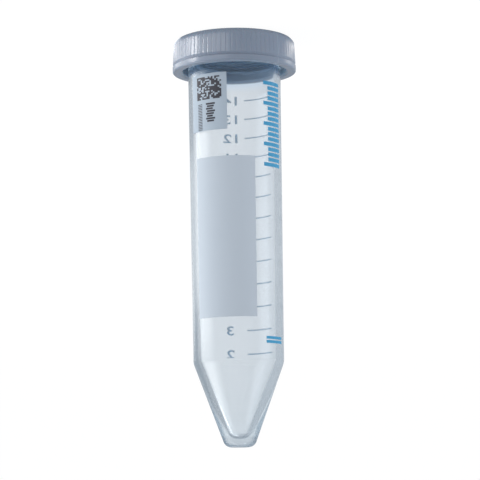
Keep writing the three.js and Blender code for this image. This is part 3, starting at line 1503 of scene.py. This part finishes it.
@dataclass(frozen=True)
class MirroredRoom:
    """What mirrors see round the tube, by direction and by distance from the axis.

    Directions are in degrees from -Y and distances in metres. Sides run from -1 at -X
    to 1 at +X.
    """

    rim_radius: float
    front_tone: Colour = (0.095, 0.14, 0.20)
    front_ends: Span = (68.0, 125.0)
    side_blend: Span = (-0.2, 0.2)
    back_right: Colour = (0.59, 0.62, 0.65)
    back_left: Colour = (0.69, 0.72, 0.75)
    close_left: Colour = (0.40, 0.43, 0.46)
    close_ends: Span = (0.10, 0.20)
    far_right: Colour = (0.58, 0.615, 0.65)
    far_left: Colour = (0.34, 0.38, 0.42)
    far_begins: Span = (0.42, 0.85)
    gap_tone: Colour = (1.15, 1.15, 1.15)
    gap_right: Span = (-0.02, 0.05)
    gap_left: Span = (0.2, 0.32)
    gap_begins: Span = (0.30, 0.60)
    gap_ends: Span = (0.86, 0.98)
    reflector_tone: Colour = (2.5, 2.5, 2.5)
    reflector_begins: Span = (62.0, 84.0)
    reflector_ends: Span = (114.0, 132.0)
    reflector_loss: float = 0.55
    card_starts: Span = (15.0 * MM, 18.0 * MM)
    card_reach: Span = (37.0 * MM, 45.0 * MM)
    card_tone: Colour = (2.35, 2.25, 2.15)
    card_edge_deg: float = 5.0
    card_ends: Span = (104.0, 120.0)
    strip_tone: Colour = (17.5, 17.0, 16.3)
    strip_tail: Colour = (3.0, 2.85, 2.7)
    strip_edge_deg: float = 36.8
    strip_fade_deg: float = 45.0
    edge_blur: float = 0.5 * MM
    fade_blur: float = 4.0 * MM
    deep_tone: Colour = (0.60, 0.635, 0.68)

    @staticmethod
    def place_met(graph: Graph) -> Node:
        """A node that separates the place or direction that a ray meets into X, Y and Z."""
        return graph.separate(graph.add("ShaderNodeNewGeometry").outputs["Position"])

    @staticmethod
    def sector(graph: Graph, angle: Socket, limits: Span) -> Socket:
        """A smooth step from 0 to 1 between two angles in degrees."""
        return graph.ramp(angle, *(math.radians(limit) for limit in limits))

    def back(self, graph: Graph, place: Node, away: Socket) -> Socket:
        """The room behind: each side has its tones, and a bright gap lies left of the middle.

        Args:
            graph: The graph of the floor or the world.
            place: The separated place met.
            away: Its distance from the axis.

        Returns:
            The colour.
        """
        side = graph.maths("DIVIDE", place.outputs["X"], away)
        left = graph.ramp(side, *self.side_blend)
        near_left = graph.mix_colour(graph.ramp(away, *self.close_ends), self.close_left, self.back_left)
        near = graph.mix_colour(left, self.back_right, near_left)
        distant = graph.mix_colour(left, self.far_right, self.far_left)
        room = graph.mix_colour(graph.ramp(away, *self.far_begins), near, distant)
        width = self.between(graph, side, self.gap_right, self.gap_left)
        reach = self.between(graph, away, self.gap_begins, self.gap_ends)
        return graph.mix_colour(graph.maths("MULTIPLY", width, reach), room, self.gap_tone)

    @staticmethod
    def between(graph: Graph, value: Socket, begins: Span, ends: Span) -> Socket:
        """One between two smooth steps over a value, and zero outside them."""
        return graph.maths("SUBTRACT", graph.ramp(value, *begins), graph.ramp(value, *ends))

    def reflector(self, graph: Graph, angle: Socket, away: Socket) -> Socket:
        """Where the tall reflector on the label's side stands.

        Args:
            graph: The graph of the floor or the world.
            angle: The direction met.
            away: Its distance from the axis.

        Returns:
            How bright it is, less so where it is far away.
        """
        begins = self.sector(graph, angle, self.reflector_begins)
        ends = self.sector(graph, angle, self.reflector_ends)
        loss = graph.maths("MULTIPLY", graph.ramp(away, *self.gap_ends), self.reflector_loss)
        kept = graph.maths("SUBTRACT", 1.0, loss)
        return graph.maths("MULTIPLY", graph.maths("SUBTRACT", begins, ends), kept)

    def edge(self, graph: Graph, place: Node, wall_deg: float, blur: float) -> Socket:
        """A straight edge on the floor that the cap's wall mirrors at one angle.

        Args:
            graph: The graph of the floor or the world.
            place: The separated place met.
            wall_deg: Angle round the cap where the edge shows.
            blur: Half the width over which the edge changes.

        Returns:
            Zero on the front's side of the edge and one on the other.
        """
        normal = math.radians(2 * wall_deg + 90)
        offset = -self.rim_radius * math.sin(math.radians(wall_deg))
        along = graph.maths("MULTIPLY", place.outputs["X"], math.sin(normal))
        aside = graph.maths("MULTIPLY", place.outputs["Y"], -math.cos(normal))
        return graph.ramp(graph.maths("ADD", along, aside), offset - blur, offset + blur)

    def card(self, graph: Graph, place: Node, room: Socket) -> Socket:
        """The white card and its bright strip, which give the cap's wall its gloss.

        Args:
            graph: The graph of the floor or the world.
            place: The separated place met.
            room: The colour where there is no card.

        Returns:
            The colour.
        """
        card = self.edge(graph, place, self.card_edge_deg, self.edge_blur)
        strip = self.edge(graph, place, self.strip_edge_deg, self.edge_blur)
        fades = self.edge(graph, place, self.strip_fade_deg, self.fade_blur)
        lit = graph.mix_colour(fades, self.strip_tone, self.strip_tail)
        return graph.mix_colour(strip, graph.mix_colour(card, room, self.card_tone), lit)

    def colour(self, graph: Graph) -> Socket:
        """What a mirror sees: dim in front, paler behind and bright on the label's side.

        Args:
            graph: The graph of the floor or the world.

        Returns:
            The colour, and one even tone for a ray that was mirrored again and again.
        """
        place = self.place_met(graph)
        away = graph.from_axis(place)
        toward = graph.maths("MULTIPLY", place.outputs["Y"], -1.0)
        angle = graph.maths("ARCTAN2", place.outputs["X"], toward)
        around = graph.maths("ABSOLUTE", angle)
        behind = self.sector(graph, around, self.front_ends)
        room = graph.mix_colour(behind, self.front_tone, self.back(graph, place, away))
        far = graph.mix_colour(self.reflector(graph, angle, away), room, self.reflector_tone)
        beyond = graph.ramp(away, *self.card_reach)
        beyond = graph.maths("MAXIMUM", beyond, self.sector(graph, around, self.card_ends))
        within = graph.maths("SUBTRACT", 1.0, graph.ramp(away, *self.card_starts))
        clear_of_card = graph.maths("MAXIMUM", beyond, within)
        met = graph.mix_colour(clear_of_card, self.card(graph, place, room), far)
        depth = graph.add("ShaderNodeLightPath").outputs["Glossy Depth"]
        often = graph.maths("GREATER_THAN", depth, TRAPPED_DEPTH)
        return graph.mix_colour(often, met, self.deep_tone)


@dataclass(frozen=True)
class SoftLamp:
    """A rectangular area lamp that mirrors and clear plastic don't show."""

    name: str
    place: Place
    size: Span
    power: float
    colour: Colour

    def build(self, aim: Place) -> Piece:
        """Put the lamp in the scene.

        Args:
            aim: The point it faces.

        Returns:
            The lamp.
        """
        data = bpy.data.lights.new(self.name, "AREA")
        data.shape = "RECTANGLE"
        data.size, data.size_y = self.size
        data.energy = self.power
        data.color = self.colour
        lamp = bpy.data.objects.new(self.name, data)
        lamp.location = self.place
        lamp.rotation_euler = (Vector(aim) - Vector(self.place)).to_track_quat("-Z", "Y").to_euler()
        lamp.visible_glossy = False
        lamp.visible_transmission = False
        bpy.context.scene.collection.objects.link(lamp)
        return lamp


KEY = SoftLamp("key", (0.54, 0.15, 0.13), (0.6, 0.22), 3.2, (1.0, 0.99, 0.97))
FILL = SoftLamp("fill", (-0.50, 0.12, 0.13), (0.4, 0.20), 1.2, (0.95, 0.97, 1.0))


@dataclass
class Studio:
    """The camera, the lamps, the world and the floor."""

    places: Frame
    distance: float = 442 * MM
    eye_above_tip: float = 15.5 * MM
    look_down_deg: float = 7.7
    lean_deg: float = -0.9
    aside: float = 0.66 * MM
    lens: float = 156.0
    sensor: float = 36.0
    clip: Span = (0.01, 100.0)
    floor_reach: float = 12.0
    floor_glow: float = 0.92
    floor_light: float = 0.72
    floor_white: Colour = (1.03, 1.03, 1.03)
    floor_low: Colour = (0.86, 0.86, 0.86)
    floor_high: Colour = (0.9, 0.9, 0.9)
    world_white: Colour = (1.0, 1.0, 1.0)
    room_low: Colour = (1.62, 1.67, 1.75)
    room_high: Colour = (0.60, 0.63, 0.68)
    room_height: Span = (0.0, 0.7)

    def camera(self) -> None:
        """Place the camera: it looks down on the tip and is turned over, cap uppermost."""
        data = bpy.data.cameras.new("camera")
        data.lens = self.lens
        data.sensor_width = self.sensor
        data.clip_start, data.clip_end = self.clip
        camera = bpy.data.objects.new("camera", data)
        bpy.context.scene.collection.objects.link(camera)
        down = math.radians(self.look_down_deg)
        forward = Vector((0.0, math.cos(down), -math.sin(down)))
        upward = Vector((0.0, -math.sin(down), -math.cos(down)))
        right = forward.cross(upward)
        turn = Matrix((right, upward, -forward)).transposed().to_4x4()
        lean = Matrix.Rotation(math.radians(self.lean_deg), 4, "Z")
        place = Matrix.Translation((-self.aside, -self.distance, self.places.tip_z + self.eye_above_tip))
        camera.matrix_world = place @ turn @ lean
        bpy.context.scene.camera = camera

    def lamps(self) -> None:
        """A broad soft key on the label's side and a weaker fill opposite, both a little behind."""
        for lamp in (KEY, FILL):
            lamp.build((0.0, 0.0, self.places.tip_z / 2))

    @staticmethod
    def seen(graph: Graph) -> tuple[Socket, Socket]:
        """How a ray that meets the surroundings got there.

        Args:
            graph: The graph of the floor or the world.

        Returns:
            One for a ray from the camera, a mirror or clear plastic that met nothing matt,
            and one for a ray that was mirrored on its way.
        """
        path = graph.add("ShaderNodeLightPath")
        kind = graph.maths("MAXIMUM", path.outputs["Is Camera Ray"], path.outputs["Is Glossy Ray"])
        kind = graph.maths("MAXIMUM", kind, path.outputs["Is Transmission Ray"])
        clean = graph.maths("LESS_THAN", path.outputs["Diffuse Depth"], 0.5)
        mirrored = graph.maths("GREATER_THAN", path.outputs["Glossy Depth"], 0.5)
        return graph.maths("MULTIPLY", kind, clean), mirrored

    def world(self, room: MirroredRoom) -> None:
        """A surrounding that is white to the eye, and as a light dim overhead.

        Args:
            room: What mirrors see.
        """
        world = bpy.data.worlds.new("studio")
        world.use_nodes = True
        graph = Graph(world.node_tree)
        seen, mirrored = self.seen(graph)
        shown = graph.mix_colour(mirrored, self.world_white, room.colour(graph))
        height = graph.ramp(room.place_met(graph).outputs["Z"], *self.room_height)
        lit = graph.mix_colour(height, self.room_low, self.room_high)
        background = graph.fed("ShaderNodeBackground", {"Color": graph.mix_colour(seen, lit, shown)})
        graph.surface(background.outputs[0], "ShaderNodeOutputWorld")
        bpy.context.scene.world = world

    def floor(self, room: MirroredRoom) -> Piece:
        """A wide pale floor that looks white and keeps a soft shadow.

        Args:
            room: What mirrors see.

        Returns:
            The floor.
        """
        reach, low = self.floor_reach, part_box(Body.CAP.value)[0].z
        corners = [(-reach, -reach, low), (reach, -reach, low), (reach, reach, low), (-reach, reach, low)]
        floor = new_mesh_object("floor", corners, [(0, 1, 2, 3)])
        material, graph = start_material("pale_floor")
        shade = graph.principled(roughness=0.8)
        tone = graph.mix_colour(graph.noise(graph.object_place(), 8.0, 3.0), self.floor_low, self.floor_high)
        seen, mirrored = self.seen(graph)
        shown = graph.mix_colour(mirrored, self.floor_white, room.colour(graph))
        glow = graph.fed("ShaderNodeEmission", {"Color": shown})
        share = graph.stretch(seen, self.floor_light, self.floor_glow)
        graph.surface(graph.mix_shader(share, graph.drive(shade, colour=tone), glow.outputs[0]))
        floor.data.materials.append(material)
        return floor

    def build(self) -> None:
        """Set up everything that isn't the object."""
        room = MirroredRoom(self.places.rim_radius)
        self.camera()
        self.lamps()
        self.world(room)
        self.floor(room)
        bpy.context.scene.view_settings.view_transform = "Standard"


# ---------------------------------------------------------------------- main


def report(obj: Piece) -> None:
    """Log a piece's name and size."""
    LOG.info("%s: %d faces", obj.name, len(obj.data.polygons))


def main() -> None:
    """Build every piece around the frame."""
    logging.basicConfig(level=logging.INFO, format="%(name)s: %(message)s")
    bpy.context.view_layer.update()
    places = Frame.read()
    Studio(places).build()
    groups = Groups()
    scale_ink = SCALE_INK.build(groups)
    scale = VolumeScale(places, scale_ink)
    label = CodeLabel(places, LabelFilm().build(groups), LABEL_INK.build(groups))
    report(TubeBody(places, ClearPolypropylene().build(groups, places.rim_z, places.tip_z)).build())
    report(ScrewCap(places, CapPolyethylene().build(groups, ScrewCap.bore)).build())
    report(WritingPanel(places, PANEL_INK.build(groups)).build())
    report(scale.build())
    report(ScaleNumbers(places, scale_ink, heights=scale.heights()).build())
    report(AccentBars(places, ACCENT_INK.build(groups)).build())
    report(label.build_film())
    report(label.build_code())


if __name__ == "__main__":
    main()
